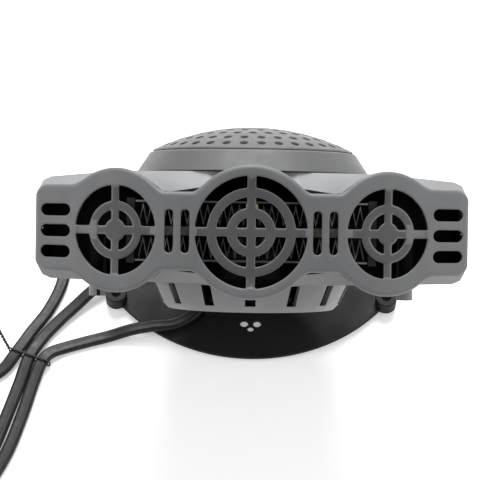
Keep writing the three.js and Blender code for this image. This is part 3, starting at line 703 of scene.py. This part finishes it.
def plate_outline():
    """A round plate with a straight rear edge, rounded rear corners and a lug at each side."""
    away = math.hypot(LUG_X, LUG_Y)
    lugs = [math.atan2(LUG_Y, LUG_X), math.atan2(LUG_Y, -LUG_X)]
    end, step = 2, 0.5  # degrees
    points = []
    for i in range(int((180 + 2 * end) / step) + 1):
        a = math.radians(180 - end + step * i)
        reach = BASE_RADIUS
        for lug in lugs:
            off = away * math.sin(a - lug)
            if abs(off) < LUG_RADIUS and math.cos(a - lug) > 0:
                reach = max(reach, away * math.cos(a - lug) + math.sqrt(LUG_RADIUS ** 2 - off ** 2))
        points.append((reach * math.cos(a), reach * math.sin(a)))
    straight = math.sqrt(BASE_RADIUS ** 2 - PLATE_REAR ** 2) - PLATE_CORNER
    first, last = points[0], points.pop()
    points += curve(last, (BASE_RADIUS - 0.8, PLATE_REAR), (straight, PLATE_REAR))
    points += [(straight, PLATE_REAR)]
    points += curve((-straight, PLATE_REAR), (0.8 - BASE_RADIUS, PLATE_REAR), first)
    return points


def make_plate():
    edge, boss_edge = 0.5, 0.6
    thick = PLATE_TOP - PLATE_BOTTOM
    outline = plate_outline()
    depths = [(edge, 0), (edge * 0.3, edge * 0.3), (0, edge), (0, thick - edge), (edge, thick)]
    holes = [circle(LUG_HOLE, side * LUG_X, LUG_Y) for side in (-1, 1)]
    holes += [circle(LUG_HOLE, side * REAR_HOLE_X, REAR_HOLE_Y) for side in (-1, 1)]
    holes += [circle(*hole) for hole in FRONT_HOLES]
    for angle in (90, 210, 330):
        a = math.radians(angle)
        x, y = HUB_SCREW_RADIUS * math.cos(a), HUB_SCREW_RADIUS * math.sin(a)
        holes.append(circle(HUB_SCREW_HOLE, x, y))
    bm = bmesh.new()
    drilled(bm, [(grown(outline, -i), d) for i, d in depths], holes, 0.15, thick, {},
            lambda u, v, depth: (u, v, PLATE_TOP - depth))
    for side in (-1, 1):
        profile = [(LUG_HOLE, PLATE_TOP), (LUG_RADIUS, PLATE_TOP)]
        profile += arc(LUG_RADIUS - boss_edge, LUG_TOP - boss_edge, boss_edge, 0, 90, 4)
        profile += [(LUG_HOLE + 0.3, LUG_TOP), (LUG_HOLE, LUG_TOP - 0.3)]
        turned(bm, profile, (side * LUG_X, LUG_Y), 40)
    piece_from(bm, "round_plate", "painted_steel", "base", ("base_plate",))


make_plate()


# ---- the CAD pieces that stay ----
def dress(node, material, edge_mm):
    """Gives a CAD piece its material, and rounds its edges with modifiers only."""
    piece = frame["nodes"][node]
    piece.data.materials.clear()
    piece.data.materials.append(material)
    weld = piece.modifiers.new("weld", "WELD")
    weld.merge_threshold = 2e-6
    flat = piece.modifiers.new("flat_faces", "DECIMATE")
    flat.decimate_type = "DISSOLVE"
    flat.angle_limit = math.radians(0.5)
    bevel = piece.modifiers.new("edges", "BEVEL")
    bevel.width = edge_mm * MM
    bevel.segments = 2
    bevel.limit_method = "ANGLE"
    bevel.angle_limit = math.radians(34)
    smooth = piece.modifiers.new("weighted_normals", "WEIGHTED_NORMAL")
    smooth.keep_sharp = True
    piece.data.polygons.foreach_set("use_smooth", [True] * len(piece.data.polygons))


def front_cover():
    """A surface just behind the grille's front that closes its openings, as points and faces."""
    behind, inset = 2, 1
    xs = every(inset - HALF_WIDTH, HALF_WIDTH - inset, 2)
    points = []
    for x in xs:
        points.append(HEAD @ Vector((x, bow(x) + behind, -outline_height(x, False, inset))))
        points.append(HEAD @ Vector((x, bow(x) + behind, outline_height(x, True, inset))))
    faces = [(2 * i, 2 * i + 2, 2 * i + 3, 2 * i + 1) for i in range(len(xs) - 1)]
    return points, faces


def paint_inside_shade(pieces, closing, material):
    """Paints shade on the faces inside the casing, as dark as the inside looks through the outlets.

    A face is inside when rays from it, straight out and slanted, all meet the casing.
    """
    trees = [BVHTree.FromPolygons(*front_cover())]
    for piece in pieces + closing:
        bm = bmesh.new()
        bm.from_mesh(piece.data)
        trees.append(BVHTree.FromBMesh(bm))
        bm.free()
    reach, lift, slope = 0.13, 0.0003, 0.6
    for piece in pieces:
        # The dark material is painted shade, given to the faces that the rays find enclosed.
        piece.data.materials.append(material)
        shade_index = len(piece.data.materials) - 1
        for face in piece.data.polygons:
            side = face.normal.orthogonal().normalized()
            across = face.normal.cross(side)
            slants = (Vector(), side, -side, across, -across)
            start = face.center + face.normal * lift
            rays = [(face.normal + slant * slope).normalized() for slant in slants]
            if all(any(tree.ray_cast(start, ray, reach)[0] for tree in trees) for ray in rays):
                face.material_index = shade_index


def dress_cad():
    replaced = {"front_grille", "intake_ring", "dome_grille", "base_plate", "cord_lead", "cord_loop",
                "cord_coil", "cord_tie"}
    # The lower shell gets the painted-shade copy of the casing's plastic.
    special = {"dust_filter": FILTER_FOAM, "lower_shell": LOWER_SHELL_PAINTED_SHADE}
    big = {"upper_shell": 0.7, "lower_shell": 0.6, "yoke": 0.4, "base_hub": 0.6}
    for row in frame["record"]["subparts"]:
        node, slot = row["node"], row["material_slot"]
        if node in replaced:
            continue
        dress(node, special.get(node, MATERIALS[slot]), big.get(node, 0.15))
    nodes = frame["nodes"]
    paint_inside_shade([nodes["upper_shell"], nodes["lower_shell"], grille],
                  [nodes["intake_ring"], nodes["dome_grille"]], INSIDE_PAINTED_SHADE)


dress_cad()


# ---- floor and light ----
def make_floor():
    size = 4
    corners = [(-size, -size, 0), (size, -size, 0), (size, size, 0), (-size, size, 0)]
    mesh = bpy.data.meshes.new("floor")
    mesh.from_pydata(corners, [], [(0, 1, 2, 3)])
    nodes = Nodes("floor_white")
    nodes.link(nodes.blend(nodes.noise(3), (0.86, 0.86, 0.86, 1), (0.88, 0.88, 0.88, 1)), "Base Color")
    nodes.put(Roughness=0.6, Specular_IOR_Level=0.2)
    nodes.put(Emission_Color=(1, 1, 1, 1), Emission_Strength=0.32)
    mesh.materials.append(nodes.material)
    floor = bpy.data.objects.new("floor", mesh)
    bpy.context.scene.collection.objects.link(floor)


def soft_light(name, place, target, size, power):
    data = bpy.data.lights.new(name, "AREA")
    data.shape = "DISK"
    data.size = size
    data.energy = power
    light = bpy.data.objects.new(name, data)
    bpy.context.scene.collection.objects.link(light)
    light.location = place
    light.rotation_euler = (Vector(target) - Vector(place)).to_track_quat("-Z", "Y").to_euler()


def make_light():
    world = bpy.data.worlds.new("studio")
    world.use_nodes = True
    world.node_tree.nodes["Background"].inputs["Color"].default_value = (1, 1, 1, 1)
    world.node_tree.nodes["Background"].inputs["Strength"].default_value = 0.5
    bpy.context.scene.world = world
    bpy.context.scene.view_settings.view_transform = "Standard"
    soft_light("back", (0, 0.9, 1.1), (0, -0.05, 0.05), 1.0, 34)
    soft_light("left", (-1.0, -0.3, 0.6), (0, -0.05, 0.05), 0.6, 4)
    soft_light("right", (1.0, -0.3, 0.6), (0, -0.05, 0.05), 0.6, 4)


make_floor()
make_light()
